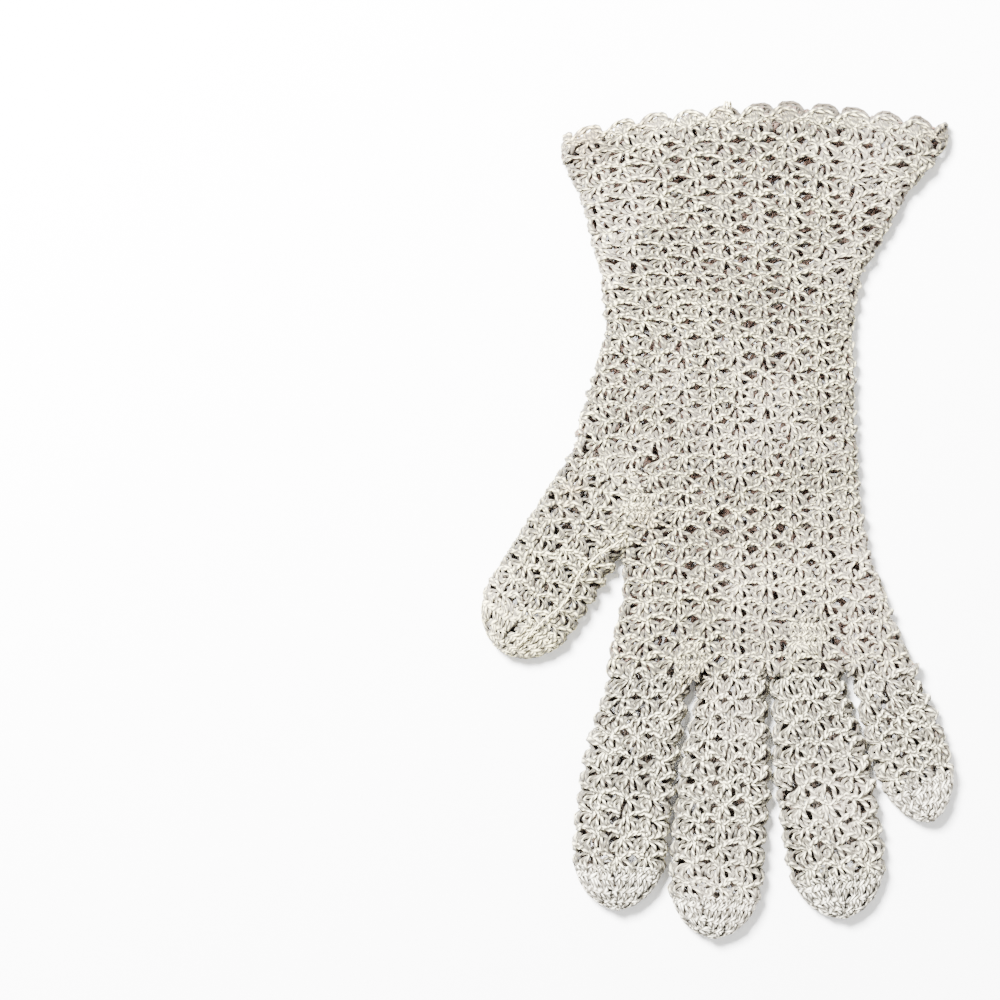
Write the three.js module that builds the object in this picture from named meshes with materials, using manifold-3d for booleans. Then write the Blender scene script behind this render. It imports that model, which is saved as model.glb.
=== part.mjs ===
// A lady's gauntlet glove in openwork crochet, lying flat on its underside.
// X runs across the hand, Y from the fingertips to the cuff's rim and Z up.
import * as THREE from 'three';
import { mergeVertices } from 'three/addons/utils/BufferGeometryUtils.js';
import Module from 'manifold-3d';

const wasm = await Module();
wasm.setup();

// Sizes of the hand and the flared cuff, in millimetres
const KNUCKLE_WIDTH = 104;
const PALM_WIDTH = 84;
const THUMB_ROOT_WIDTH = 93.5;
const WRIST_WIDTH = 83;
const RIM_WIDTH = 128;
const HAND_LENGTH = 128;
const GAUNTLET_LENGTH = 48;
const EDGING_HEIGHT = 5.6;
const SCALLOP_DEPTH = 2.2;
const RIM_BOW = 7;
const RIM_STAGGER = 3.9;
const STAGGER_SPAN = [-0.95, 0.3];

// Heights as it lies, and the crocheted wall
const HAND_HEIGHT = 9.6;
const DIGIT_HEIGHT = 8.6;
const WALL = 1.7;
const DIGIT_WALL = 1.6;
const JOINT_GAP = 0.3;
const SMALLEST_EDGE = 0.03;

// Sizes of the shell rows and of the gaps between shells
const HAND_ROW = 5.8;
const GAUNTLET_ROW = 4.8;
const DIGIT_ROW = 6.3;
const SHELL_WIDTH = 9;
const HAND_SCALLOP = 0.9;
const DIGIT_SCALLOP = 1.6;
const ROW_RIB = 0.4;
const GAP_WIDTH = 2.8;
const GAP_LENGTH = 2.4;

// Lengths and widths of the digits, and of their closely worked tips
const THUMB_LENGTH = 69;
const THUMB_WIDTH = 32;
const INDEX_LENGTH = 75.5;
const INDEX_WIDTH = 31;
const MIDDLE_LENGTH = 85;
const MIDDLE_WIDTH = 30.8;
const RING_LENGTH = 79;
const RING_WIDTH = 32.4;
const LITTLE_LENGTH = 48.5;
const LITTLE_WIDTH = 25.2;
const TIP_LENGTH = 13.5;

// Sections of the hand. along is a share of its length from the knuckles to the wrist, left and right
// are its edges as shares of the named width that the section follows, and rise is a share of its height.
const HAND_SECTIONS = [
  { along: 0.0, width: KNUCKLE_WIDTH, left: -0.354, right: 0.646, rise: 0.93 },
  { along: 0.155, width: KNUCKLE_WIDTH, left: -0.311, right: 0.562, rise: 0.97 },
  { along: 0.21, width: PALM_WIDTH, left: -0.362, right: 0.667, rise: 0.99 },
  { along: 0.32, width: PALM_WIDTH, left: -0.365, right: 0.605, rise: 1.0 },
  { along: 0.45, width: PALM_WIDTH, left: -0.459, right: 0.567, rise: 1.0 },
  { along: 0.593, width: THUMB_ROOT_WIDTH, left: -0.504, right: 0.496, rise: 0.98 },
  { along: 0.67, width: THUMB_ROOT_WIDTH, left: -0.483, right: 0.487, rise: 0.97 },
  { along: 0.8, width: WRIST_WIDTH, left: -0.481, right: 0.548, rise: 0.96 },
  { along: 0.9, width: WRIST_WIDTH, left: -0.437, right: 0.538, rise: 0.95 },
  { along: 1.0, width: WRIST_WIDTH, left: -0.45, right: 0.56, rise: 0.95 },
];

// Sections of the gauntlet. flare is the share of the way from the wrist's edges to the rim's.
const GAUNTLET_SECTIONS = [
  { along: 0.0, flare: 0.0, rise: 0.95 },
  { along: 0.15, flare: 0.05, rise: 0.95 },
  { along: 0.29, flare: 0.2, rise: 0.95 },
  { along: 0.5, flare: 0.38, rise: 0.96 },
  { along: 0.7, flare: 0.56, rise: 0.97 },
  { along: 0.84, flare: 0.81, rise: 0.98 },
  { along: 1.0, flare: 1.0, rise: 1.0 },
];
const RIM_LEFT = -0.4;
const RIM_RIGHT = 0.6;

// Half the outline of a tube that lies flat. across is a share of its half width, and up of its height.
const TUBE_PROFILE = [
  { across: 0.0, up: 1.0 },
  { across: 0.48, up: 0.985 },
  { across: 0.8, up: 0.9 },
  { across: 0.95, up: 0.7 },
  { across: 1.0, up: 0.4 },
  { across: 0.94, up: 0.0 },
  { across: 0.4, up: 0.0 },
];

// Each digit leaves the hand at a share of the knuckle line, and leans from straight down, in degrees.
// bend is how far its tip curves back, root how wide it starts and point how long its round end is, all
// as shares of its width.
const FINGERS = [
  { name: 'index', length: INDEX_LENGTH, width: INDEX_WIDTH, at: 0.142, lean: -15.6, bend: 0.32, root: 0.89, point: 0.6 },
  { name: 'middle', length: MIDDLE_LENGTH, width: MIDDLE_WIDTH, at: 0.408, lean: -5.4, bend: 0.03, root: 0.75, point: 0.6 },
  { name: 'ring', length: RING_LENGTH, width: RING_WIDTH, at: 0.642, lean: 10.3, bend: -0.06, root: 0.76, point: 0.62 },
  { name: 'little', length: LITTLE_LENGTH, width: LITTLE_WIDTH, at: 0.889, lean: 20.8, bend: -0.1, root: 0.86, point: 0.8 },
];
const THUMB_LEAN = -32.5;
const THUMB_ALONG = 0.593;
const ROOT_REACH = 0.45;
const SQUARE_REACH = 0.3;
const HIDDEN_ROOT = 0.12;
const TIP_RISE = 0.72;

// Open stitch gaps in the upper layer. column counts shells from the one at the palm's middle, and the
// rows run from the knuckles, the wrist or a digit's base.
const MIDDLE_SHELL = 0.181;
const HAND_GAPS = [
  { column: -3.5, from: 14, to: 20 },
  { column: -2.5, from: 4, to: 14 },
  { column: -1.5, from: 2, to: 20 },
  { column: -0.5, from: 4, to: 12 },
  { column: 0.5, from: 5, to: 12 },
  { column: 1.5, from: 12, to: 19 },
];
const GAUNTLET_GAPS = [
  { column: -3.5, from: 4, to: 8 },
  { column: -2.5, from: 1, to: 8 },
  { column: -0.5, from: 2, to: 8 },
  { column: 0.5, from: 1, to: 8 },
  { column: 1.5, from: 3, to: 8 },
];
const DIGIT_GAPS = {
  thumb: { column: 0.5, from: 3, to: 6 },
  index: { column: -0.5, from: 1, to: 7 },
  middle: { column: 0.5, from: 3, to: 9 },
  ring: { column: -0.5, from: 1, to: 7 },
  little: { column: 0.5, from: 1, to: 3 },
};

// Value of one column of a table at a share along it, by straight lines between its rows.
function tableValue(table, column, along) {
  let i = 0;
  while (i < table.length - 2 && table[i + 1].along < along) i += 1;
  const [a, b] = [table[i], table[i + 1]];
  const share = THREE.MathUtils.clamp((along - a.along) / (b.along - a.along), 0, 1);
  return THREE.MathUtils.lerp(column(a), column(b), share);
}

// Stations along a tube worked in rows: each row is narrow at its foot and bulges past its middle.
function rowStations(start, end, rowLength) {
  const rows = Math.max(1, Math.round((end - start) / rowLength));
  const stations = [];
  for (let row = 0; row < rows; row += 1) {
    stations.push({ at: start + ((end - start) * row) / rows, bulge: 0 });
    stations.push({ at: start + ((end - start) * (row + 0.55)) / rows, bulge: 1 });
  }
  stations.push({ at: end, bulge: 0 });
  return stations;
}

// One closed ring of points round a flat tube, set in from its surface.
function ring({ x, y, turn, half, height, bow = 0 }, inset) {
  const full = [...TUBE_PROFILE, ...TUBE_PROFILE.slice(1).reverse().map((p) => ({ ...p, across: -p.across }))];
  return full.map(({ across, up }) => {
    const side = across * Math.max(half - inset, inset);
    return new THREE.Vector3(
      x + side * Math.cos(turn),
      y + side * Math.sin(turn) + bow * (1 - across * across),
      inset + up * (height - 2 * inset),
    );
  });
}

// A closed solid through rings of equal count, with a flat fan over each end.
function loft(rings) {
  const count = rings[0].length;
  const points = rings.flat();
  const index = [];
  for (let r = 0; r < rings.length - 1; r += 1) {
    for (let i = 0; i < count; i += 1) {
      const [a, b] = [r * count + i, r * count + ((i + 1) % count)];
      index.push(a, b, a + count, b, b + count, a + count);
    }
  }
  for (const [end, start] of [[rings[0], 0], [rings.at(-1), (rings.length - 1) * count]]) {
    const middle = end.reduce((sum, p) => sum.add(p), new THREE.Vector3()).divideScalar(count);
    points.push(middle);
    for (let i = 0; i < count; i += 1) {
      const pair = [start + i, start + ((i + 1) % count)];
      index.push(...(start === 0 ? pair.reverse() : pair), points.length - 1);
    }
  }
  return toSolid(new THREE.BufferGeometry().setFromPoints(points).setIndex(index));
}

// A three.js geometry as a solid that booleans can cut and join.
function toSolid(geometry) {
  const bare = geometry.clone();
  bare.deleteAttribute('normal');
  bare.deleteAttribute('uv');
  const merged = mergeVertices(bare, 1e-4);
  return new wasm.Manifold(new wasm.Mesh({
    numProp: 3,
    vertProperties: new Float32Array(merged.attributes.position.array),
    triVerts: new Uint32Array(merged.index.array),
  }));
}

// The result of the booleans as a three.js geometry, without the crumbs that thin cuts can leave.
function toGeometry(solid) {
  const [main] = solid.decompose().sort((a, b) => b.volume() - a.volume());
  const mesh = main.simplify(SMALLEST_EDGE).getMesh();
  const geometry = new THREE.BufferGeometry();
  geometry.setAttribute('position', new THREE.BufferAttribute(new Float32Array(mesh.vertProperties), 3));
  geometry.setIndex(new THREE.BufferAttribute(new Uint32Array(mesh.triVerts), 1));
  return geometry.toNonIndexed();
}

// A diamond-shaped cutter for one stitch gap, from the hollow up through the upper wall.
function gapCutter(x, y, turn, height) {
  const cutter = new THREE.CylinderGeometry(GAP_WIDTH / 2, GAP_WIDTH / 2, height, 4);
  cutter.rotateX(Math.PI / 2);
  cutter.scale(1, GAP_LENGTH / GAP_WIDTH, 1);
  cutter.rotateZ(turn);
  cutter.translate(x, y, height);
  return toSolid(cutter);
}

// The hand's edges and height at a distance from the knuckle line.
function handFrame(y, bulge) {
  const along = y / HAND_LENGTH;
  const left = tableValue(HAND_SECTIONS, (s) => s.left * s.width, along);
  const right = tableValue(HAND_SECTIONS, (s) => s.right * s.width, along);
  const rise = tableValue(HAND_SECTIONS, (s) => s.rise, along);
  return {
    x: (left + right) / 2,
    y,
    turn: 0,
    half: (right - left) / 2 - HAND_SCALLOP * (1 - bulge),
    height: rise * HAND_HEIGHT - ROW_RIB * (1 - bulge),
  };
}

// The gauntlet's edges, height and bow at a distance from the wrist.
function gauntletFrame(distance, bulge) {
  const along = distance / GAUNTLET_LENGTH;
  const wrist = HAND_SECTIONS.at(-1);
  const flare = tableValue(GAUNTLET_SECTIONS, (s) => s.flare, along);
  const left = THREE.MathUtils.lerp(wrist.left * wrist.width, RIM_LEFT * RIM_WIDTH, flare);
  const right = THREE.MathUtils.lerp(wrist.right * wrist.width, RIM_RIGHT * RIM_WIDTH, flare);
  const rise = tableValue(GAUNTLET_SECTIONS, (s) => s.rise, along);
  return {
    x: (left + right) / 2,
    y: HAND_LENGTH + distance,
    turn: 0,
    half: (right - left) / 2 - HAND_SCALLOP * (1 - bulge),
    height: rise * HAND_HEIGHT - ROW_RIB * (1 - bulge),
    bow: RIM_BOW * along * along,
  };
}

// The middle, heading and width of a digit at a distance from its base. A finger starts square to the
// hand, and its rows turn to its own lean on the way.
function digitFrame(digit, reach, bulge) {
  const lean = THREE.MathUtils.degToRad(digit.lean);
  const along = reach / digit.length;
  const heading = digit.square && reach < 0 ? 0 : lean;
  const turned = digit.square ? THREE.MathUtils.smoothstep(along, 0, SQUARE_REACH) : 1;
  const bend = digit.bend * digit.width * along * Math.abs(along);
  const grown = THREE.MathUtils.smoothstep(along, 0, ROOT_REACH);
  const left = Math.max(digit.length - reach, 0) / (digit.point * digit.width);
  const round = Math.sqrt(Math.max(1 - (1 - Math.min(left, 1)) ** 2, 0));
  const width = digit.width * THREE.MathUtils.lerp(digit.root, 1, grown) * round;
  return {
    x: digit.x + Math.sin(heading) * reach + Math.cos(lean) * bend,
    y: digit.y - Math.cos(heading) * reach + Math.sin(lean) * bend,
    turn: turned * (lean + Math.atan2(2 * bend, reach) * Math.sign(along)),
    half: Math.max(width / 2 - DIGIT_SCALLOP * (1 - bulge), DIGIT_WALL / 2),
    height: DIGIT_HEIGHT * THREE.MathUtils.lerp(TIP_RISE, 1, round) - ROW_RIB * (1 - bulge),
  };
}

// Distances from the base at which a digit's round end is sectioned, closer together towards its tip.
function tipReaches(digit, inset) {
  const round = digit.point * digit.width;
  return [0.55, 0.32, 0.14, 0.035, 0].map((share) => digit.length - inset - share * (round - inset));
}

// The outside of a digit's open tube, in scalloped rows.
function digitTube(digit) {
  const start = digit.square ? JOINT_GAP : -HIDDEN_ROOT * digit.length;
  const stations = rowStations(start, digit.length - TIP_LENGTH, DIGIT_ROW);
  return loft(stations.map(({ at, bulge }) => ring(digitFrame(digit, at, bulge), 0)).reverse());
}

// The outside of a digit's closed tip, which is smooth and round.
function digitTip(digit) {
  const start = digit.length - TIP_LENGTH + JOINT_GAP;
  const reaches = tipReaches(digit, 0).filter((reach) => reach > start + DIGIT_ROW / 4);
  const rings = [ring(digitFrame(digit, start, 0), 0), ...reaches.map((at) => ring(digitFrame(digit, at, 1), 0))];
  return loft(rings.reverse());
}

// The hollow of a digit, which runs on into the hand.
function digitInside(digit) {
  const start = digit.square ? -2 * WALL : -HIDDEN_ROOT * digit.length;
  const reaches = [0, 0.2, 0.4, 0.6].map((share) => share * digit.length);
  const rings = [start, ...reaches, ...tipReaches(digit, DIGIT_WALL)].map((reach) => {
    const frame = digitFrame(digit, reach, 1);
    frame.half = Math.max(frame.half - DIGIT_SCALLOP, 2 * DIGIT_WALL);
    frame.height = Math.max(frame.height, DIGIT_HEIGHT * TIP_RISE) - ROW_RIB;
    return ring(frame, DIGIT_WALL);
  });
  return loft(rings.reverse());
}

// The upright cutters for a digit's stitch gaps.
function digitGaps(digit, { column, from, to }) {
  const cutters = [];
  for (let row = from; row <= to; row += 1) {
    const { x, y, turn } = digitFrame(digit, (row + 0.25) * DIGIT_ROW, 1);
    const side = column * SHELL_WIDTH;
    cutters.push(gapCutter(x + side * Math.cos(turn), y + side * Math.sin(turn), turn, DIGIT_HEIGHT));
  }
  return cutters;
}

// Cutters for the hand or the gauntlet, whose columns spread as the cuff widens.
function fanGaps(table, frameAt, rowLength) {
  const narrow = WRIST_WIDTH / 2;
  return table.flatMap(({ column, from, to }) => {
    const cutters = [];
    for (let row = from; row <= to; row += 1) {
      const frame = frameAt(row * rowLength + rowLength / 2, 1);
      const spread = Math.sqrt(Math.max(1, frame.half / narrow));
      const x = MIDDLE_SHELL * PALM_WIDTH + column * SHELL_WIDTH * spread;
      const across = (x - frame.x) / frame.half;
      cutters.push(gapCutter(x, frame.y + (frame.bow ?? 0) * (1 - across * across), 0, HAND_HEIGHT));
    }
    return cutters;
  });
}

// Each cutter in turn taken away from a solid.
function cutAll(solid, cutters) {
  return cutters.reduce((rest, cutter) => rest.subtract(cutter), solid);
}

// The scalloped last row, a band whose edge rises and falls once for each shell round the mouth. The
// lower layer reaches further out than the upper one, towards the right.
function edging() {
  const foot = gauntletFrame(GAUNTLET_LENGTH, 0);
  const steps = 4;
  const around = (inset, count) => {
    const path = new THREE.CurvePath();
    const corners = ring(foot, inset);
    corners.forEach((p, i) => path.add(new THREE.LineCurve3(p, corners[(i + 1) % corners.length])));
    return count ? path.getSpacedPoints(count).slice(0, count) : path.getLength();
  };
  const shells = Math.round(around(0) / (SHELL_WIDTH * 1.2));
  const count = shells * steps;
  const band = (points, lift) => points.map((p, i) => new THREE.Vector3(p.x, p.y + lift(p, i), p.z));
  const crest = (p, i) => {
    const lower = 1 - p.z / foot.height;
    const across = (p.x - foot.x) / foot.half;
    const stagger = RIM_STAGGER * lower * THREE.MathUtils.smoothstep(across, ...STAGGER_SPAN);
    return EDGING_HEIGHT - SCALLOP_DEPTH * (1 - Math.sin((Math.PI * (i % steps)) / steps)) + stagger;
  };
  const [outer, inner] = [0, WALL].map((inset) => around(inset, count));
  const rings = [
    band(outer, () => JOINT_GAP),
    band(outer, crest),
    band(inner, crest),
    band(inner, () => JOINT_GAP),
  ];
  const index = [];
  for (let r = 0; r < rings.length; r += 1) {
    const next = (r + 1) % rings.length;
    for (let i = 0; i < count; i += 1) {
      const [a, b] = [r * count + i, r * count + ((i + 1) % count)];
      const [c, d] = [next * count + i, next * count + ((i + 1) % count)];
      index.push(a, b, c, b, d, c);
    }
  }
  return toSolid(new THREE.BufferGeometry().setFromPoints(rings.flat()).setIndex(index));
}

// Yarn colours: ivory, with the closely worked tips a little paler
const ivory = new THREE.MeshStandardMaterial({ color: 0xdcd7c8, roughness: 0.92, metalness: 0 });
const pale = new THREE.MeshStandardMaterial({ color: 0xdfdcd2, roughness: 0.92, metalness: 0 });

const glove = new THREE.Group();
function addNode(name, solid, material) {
  const mesh = new THREE.Mesh(toGeometry(solid), material);
  mesh.name = name;
  glove.add(mesh);
}

// Digits are placed on the hand: fingers along the knuckle line, the thumb on the hand's left edge
const knuckles = handFrame(0, 1);
const fingers = FINGERS.map((f) => ({
  ...f,
  square: true,
  x: knuckles.x + (2 * f.at - 1) * knuckles.half,
  y: 0,
}));
const thumbRoot = handFrame(THUMB_ALONG * HAND_LENGTH, 1);
const thumbTurn = THREE.MathUtils.degToRad(THUMB_LEAN);
const thumb = {
  name: 'thumb',
  length: THUMB_LENGTH,
  width: THUMB_WIDTH,
  lean: THUMB_LEAN,
  square: false,
  bend: 0,
  root: 1,
  point: 0.55,
  x: thumbRoot.x - thumbRoot.half + (THUMB_WIDTH / 2) * Math.cos(thumbTurn),
  y: thumbRoot.y + (THUMB_WIDTH / 2) * Math.sin(thumbTurn),
};

// The hand is hollowed from the wrist, with a way through to each digit
const handStations = rowStations(0, HAND_LENGTH, HAND_ROW);
const handInside = loft(
  [WALL, ...HAND_SECTIONS.slice(1, -1).map((s) => s.along * HAND_LENGTH), HAND_LENGTH + WALL].map((y) => {
    const frame = handFrame(y, 0);
    return ring(frame, WALL);
  }),
);
const insides = [...fingers, thumb].map(digitInside);
const handOutside = loft(handStations.map(({ at, bulge }) => ring(handFrame(at, bulge), 0)));
const handGaps = fanGaps(HAND_GAPS, handFrame, HAND_ROW);
addNode('hand', cutAll(handOutside, [handInside, ...insides, ...handGaps]), ivory);

// Gauntlet and edging continue the hand beyond the wrist
const gauntletStations = rowStations(JOINT_GAP, GAUNTLET_LENGTH, GAUNTLET_ROW);
const gauntletOutside = loft(gauntletStations.map(({ at, bulge }) => ring(gauntletFrame(at, bulge), 0)));
const gauntletEnds = [-WALL, ...GAUNTLET_SECTIONS.slice(1, -1).map((s) => s.along * GAUNTLET_LENGTH)];
const gauntletInside = loft([...gauntletEnds, GAUNTLET_LENGTH + WALL].map((at) => ring(gauntletFrame(at, 0), WALL)));
const gauntletGaps = fanGaps(GAUNTLET_GAPS, gauntletFrame, GAUNTLET_ROW);
addNode('gauntlet', cutAll(gauntletOutside, [gauntletInside, ...gauntletGaps]), ivory);
addNode('cuff_edging', edging(), ivory);

// The thumb is trimmed where it meets the hand, and each digit is hollowed in two pieces, tube and tip
const handPrism = loft(handStations.map(({ at, bulge }) => {
  const { x, y, half } = handFrame(at, bulge);
  const edge = half + JOINT_GAP;
  return [[edge, 2], [edge, -1], [-edge, -1], [-edge, 2]].map(
    ([side, up]) => new THREE.Vector3(x + side, y, up * HAND_HEIGHT),
  );
}));
[...fingers, thumb].forEach((digit, i) => {
  const name = digit === thumb ? 'thumb' : `${digit.name}_finger`;
  const cutters = [insides[i], ...digitGaps(digit, DIGIT_GAPS[digit.name])];
  if (digit === thumb) cutters.unshift(handPrism);
  addNode(name, cutAll(digitTube(digit), cutters), ivory);
  addNode(`${digit.name}_tip`, cutAll(digitTip(digit), [insides[i]]), pale);
});

// The frame's origin is on the underside, at the middle of the glove's outline
const centre = new THREE.Box3().setFromObject(glove).getCenter(new THREE.Vector3());
glove.position.set(-centre.x, -centre.y, 0);

export default glove;
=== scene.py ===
"""A lady's gauntlet glove in openwork crochet, lying flat on a pale floor.

Every stitch is modelled yarn. In the open parts, posts and a ring of yarn hang from a star, and a braided
arch leads to the next star. The rim has scallops, and the fingertips are worked in close stitches. The hand
with its cuff, and each digit, is a flat tube of cloth, and the stitches lie on it in rounds. Sizes are in
millimetres, and the meshes that come out are in metres.
"""

import logging
import math
from collections.abc import Callable
from dataclasses import dataclass, field
from enum import Enum

import bpy
import numpy as np
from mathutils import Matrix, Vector


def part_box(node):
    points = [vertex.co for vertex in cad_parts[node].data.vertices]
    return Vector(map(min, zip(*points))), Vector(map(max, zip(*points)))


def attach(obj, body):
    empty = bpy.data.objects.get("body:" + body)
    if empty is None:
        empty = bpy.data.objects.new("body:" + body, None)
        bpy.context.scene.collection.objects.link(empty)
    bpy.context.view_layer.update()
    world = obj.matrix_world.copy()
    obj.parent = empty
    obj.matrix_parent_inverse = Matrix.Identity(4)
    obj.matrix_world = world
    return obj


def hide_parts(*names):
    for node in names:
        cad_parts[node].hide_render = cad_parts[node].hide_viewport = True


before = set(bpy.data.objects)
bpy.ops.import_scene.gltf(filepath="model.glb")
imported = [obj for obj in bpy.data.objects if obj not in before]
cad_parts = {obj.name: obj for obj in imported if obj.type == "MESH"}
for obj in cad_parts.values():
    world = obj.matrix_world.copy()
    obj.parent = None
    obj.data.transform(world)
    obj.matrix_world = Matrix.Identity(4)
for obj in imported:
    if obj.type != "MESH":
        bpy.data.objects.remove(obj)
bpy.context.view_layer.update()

logging.basicConfig(level=logging.INFO, format="%(message)s")
log = logging.getLogger("glove")

# Half the outline of a tube that lies flat, as shares of its half width and of its height, and its points
TUBE_PROFILE = ((0, 1), (0.48, 0.985), (0.8, 0.9), (0.95, 0.7), (1, 0.4), (0.94, 0), (0.4, 0))
OUTLINE_POINTS = 240
TOP_RIGHT = slice(0, 50)
# From the outline in to the middle of the cloth, above and below and at the sides
CLOTH_HALF = 0.95
EDGE_INSET = 0.55
# Points of a tube's surface along a row, and round it
STATIONS_PER_ROW = 8
RING_POINTS = 180
# Where the rim's lower layer comes out from behind the upper one, and how far it keeps back before that
STAGGER_SPAN = (-0.95, 0.3)
STAGGER_BACK = 0.6
STAGGER_ROWS = 4
# How much steeper a scallop is towards the end of its round
BULGE_SKEW = 1.16
# How far a digit takes to grow to its width and to turn into its lean, as shares of its length
ROOT_REACH = 0.45
SQUARE_REACH = 0.3
# The height of a digit's end, as a share of the digit's
TIP_RISE = 0.72
# How many times a chain's strands cross over and back, and how far they move in and out
BRAID_TURNS = 2.5
BRAID_DEPTH = 0.3
CLOSE_WIDTH = 2.7
CLOSE_ROW = 2.8
# Yarn that would lie lower than this is pressed flat on the floor
FLOOR_SKIN = 0.4
# How dark a loose strand is: it catches more light than the stitches
LOOSE_TONE = -0.15
MM_PER_M = 1000
ALL = slice(None)

Values = np.ndarray | float
Colour = tuple[float, float, float, float]
Strands = list[tuple[list[tuple[float, ...]], int]]


class Stitch(Enum):
    """The kinds of stitch, by which each piece's finish is picked."""

    SHELL = "shell_stitch"
    CLOSE = "close_stitch"


def smoothstep(value: Values, low: float, high: float) -> Values:
    """Ease a value from 0 at low to 1 at high."""
    share = np.clip((value - low) / (high - low), 0, 1)
    return share * share * (3 - 2 * share)


def smooth_path(points: list | tuple, count: int, closed: bool = False) -> np.ndarray:
    """Run a smooth line through a few points.

    Args:
        points: The points that the line passes.
        count: How many evenly numbered points come back.
        closed: Whether the line returns to its start.

    Returns:
        The line's points, one row each.
    """
    given = np.array(points, float)
    if closed:
        given = np.vstack([given[-1], given, given[:2]])
        spans = len(points)
    else:
        given = np.vstack([2 * given[0] - given[1], given, 2 * given[-1] - given[-2]])
        spans = len(points) - 1
    at = np.linspace(0, spans, count, endpoint=not closed)
    first = np.minimum(at.astype(int), spans - 1)
    t = (at - first)[:, None]
    a, b, c, d = (given[first + k] for k in range(4))
    return 0.5 * (2 * b + (c - a) * t + (2 * a - 5 * b + 4 * c - d) * t**2 + (3 * b - a - 3 * c + d) * t**3)


def bulge_at(row: float) -> float:
    """Tell how far a tube's side bulges at a row, from 0 between rounds to 1 in a round."""
    return math.sin(math.pi * (row % 1) ** BULGE_SKEW)


@dataclass(frozen=True)
class Ring:
    """One cross-section of a flat tube of cloth.

    Args:
        x, y: Its middle.
        turn: How far it is turned from straight across, in radians.
        half: Half its width.
        height: Its height above the floor.
        bow: How far its middle reaches beyond its sides.
        stagger: How far its lower layer reaches beyond its upper one at the right.
        anchor: Where its count of stitches starts, from its middle.
    """

    x: float
    y: float
    turn: float
    half: float
    height: float
    bow: float = 0
    stagger: float = 0
    anchor: float = 0

    def points(self) -> tuple[np.ndarray, float]:
        """Give evenly spaced points round the middle of the cloth, and the girth."""
        full = [*TUBE_PROFILE, *((-across, up) for across, up in TUBE_PROFILE[:0:-1])]
        width = max(self.half - EDGE_INSET, CLOTH_HALF)
        corners = [(across * width, CLOTH_HALF + up * (self.height - 2 * CLOTH_HALF)) for across, up in full]
        line = smooth_path(corners, OUTLINE_POINTS, closed=True)
        line = np.vstack([line, line[:1]])
        run = np.concatenate([[0], np.cumsum(np.linalg.norm(np.diff(line, axis=0), axis=1))])
        girth = run[-1]
        start = np.interp(abs(self.anchor), line[TOP_RIGHT, 0], run[TOP_RIGHT])
        start = math.copysign(start, self.anchor)
        at = (start + girth * np.arange(RING_POINTS) / RING_POINTS) % girth
        side, up = np.interp(at, run, line[:, 0]), np.interp(at, run, line[:, 1])
        lower = 1 - up / self.height
        x = self.x + side * math.cos(self.turn)
        across = side / self.half
        y = self.y + side * math.sin(self.turn) + self.bow * (1 - across**2)
        y += self.stagger * lower * ((1 + STAGGER_BACK) * smoothstep(across, *STAGGER_SPAN) - STAGGER_BACK)
        return np.stack([x, y, up], axis=1), girth


class ClothTube:
    """The middle surface of a flat tube of cloth, in rows along it and millimetres round it."""

    def __init__(self, rings: list[Ring], first_row: float) -> None:
        """Lay a grid of points over the tube.

        Args:
            rings: The cross-sections, STATIONS_PER_ROW for each row.
            first_row: The row at which the first one lies.
        """
        made = [ring.points() for ring in rings]
        self.grid = np.array([points for points, _ in made])
        self.girths = np.array([girth for _, girth in made])
        self.first_row = first_row
        around = np.roll(self.grid, -2, axis=1) - np.roll(self.grid, 2, axis=1)
        normals = np.cross(around, np.gradient(self.grid, axis=0))
        self.normals = normals / np.linalg.norm(normals, axis=2, keepdims=True)

    def girth(self, row: Values) -> Values:
        """Give the distance round the tube at a row."""
        at = np.arange(len(self.girths)) / STATIONS_PER_ROW + self.first_row
        return np.interp(row, at, self.girths)

    def place(self, row: np.ndarray, side: np.ndarray, lift: Values = 0) -> np.ndarray:
        """Put points on the tube.

        Args:
            row: How many rows along each point lies.
            side: How far round it lies from the first stitch, as a share of the girth.
            lift: How far it stands out from the cloth's middle.

        Returns:
            The points.
        """
        v = np.clip((row - self.first_row) * STATIONS_PER_ROW, 0, len(self.grid) - 1.001)
        u = side * RING_POINTS
        v0, u0 = np.floor(v).astype(int), np.floor(u).astype(int)
        fv, fu = (v - v0)[..., None], (u - u0)[..., None]
        left, right = u0 % RING_POINTS, (u0 + 1) % RING_POINTS

        def blend(table: np.ndarray) -> np.ndarray:
            low = table[v0, left] * (1 - fu) + table[v0, right] * fu
            high = table[v0 + 1, left] * (1 - fu) + table[v0 + 1, right] * fu
            return low * (1 - fv) + high * fv

        return blend(self.grid) + blend(self.normals) * np.asarray(lift)[..., None]

    def faces_up(self, row: np.ndarray, side: np.ndarray) -> np.ndarray:
        """Tell where the cloth belongs to the upper layer."""
        return self.place(row, side, 1.0)[..., 2] > self.place(row, side)[..., 2]


def read_values(items: bpy.types.bpy_prop_collection, name: str, width: int, kind: type) -> np.ndarray:
    """Read one property of all of a mesh's items, which has width values for each."""
    values = np.empty(len(items) * width, kind)
    items.foreach_get(name, values)
    return values


@dataclass(frozen=True)
class Template:
    """One stitch as flat meshes, in several hand-worked variants of the same faces."""

    points: np.ndarray
    corners: np.ndarray
    starts: np.ndarray
    uv: np.ndarray
    tone: np.ndarray
    crown: np.ndarray


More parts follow.
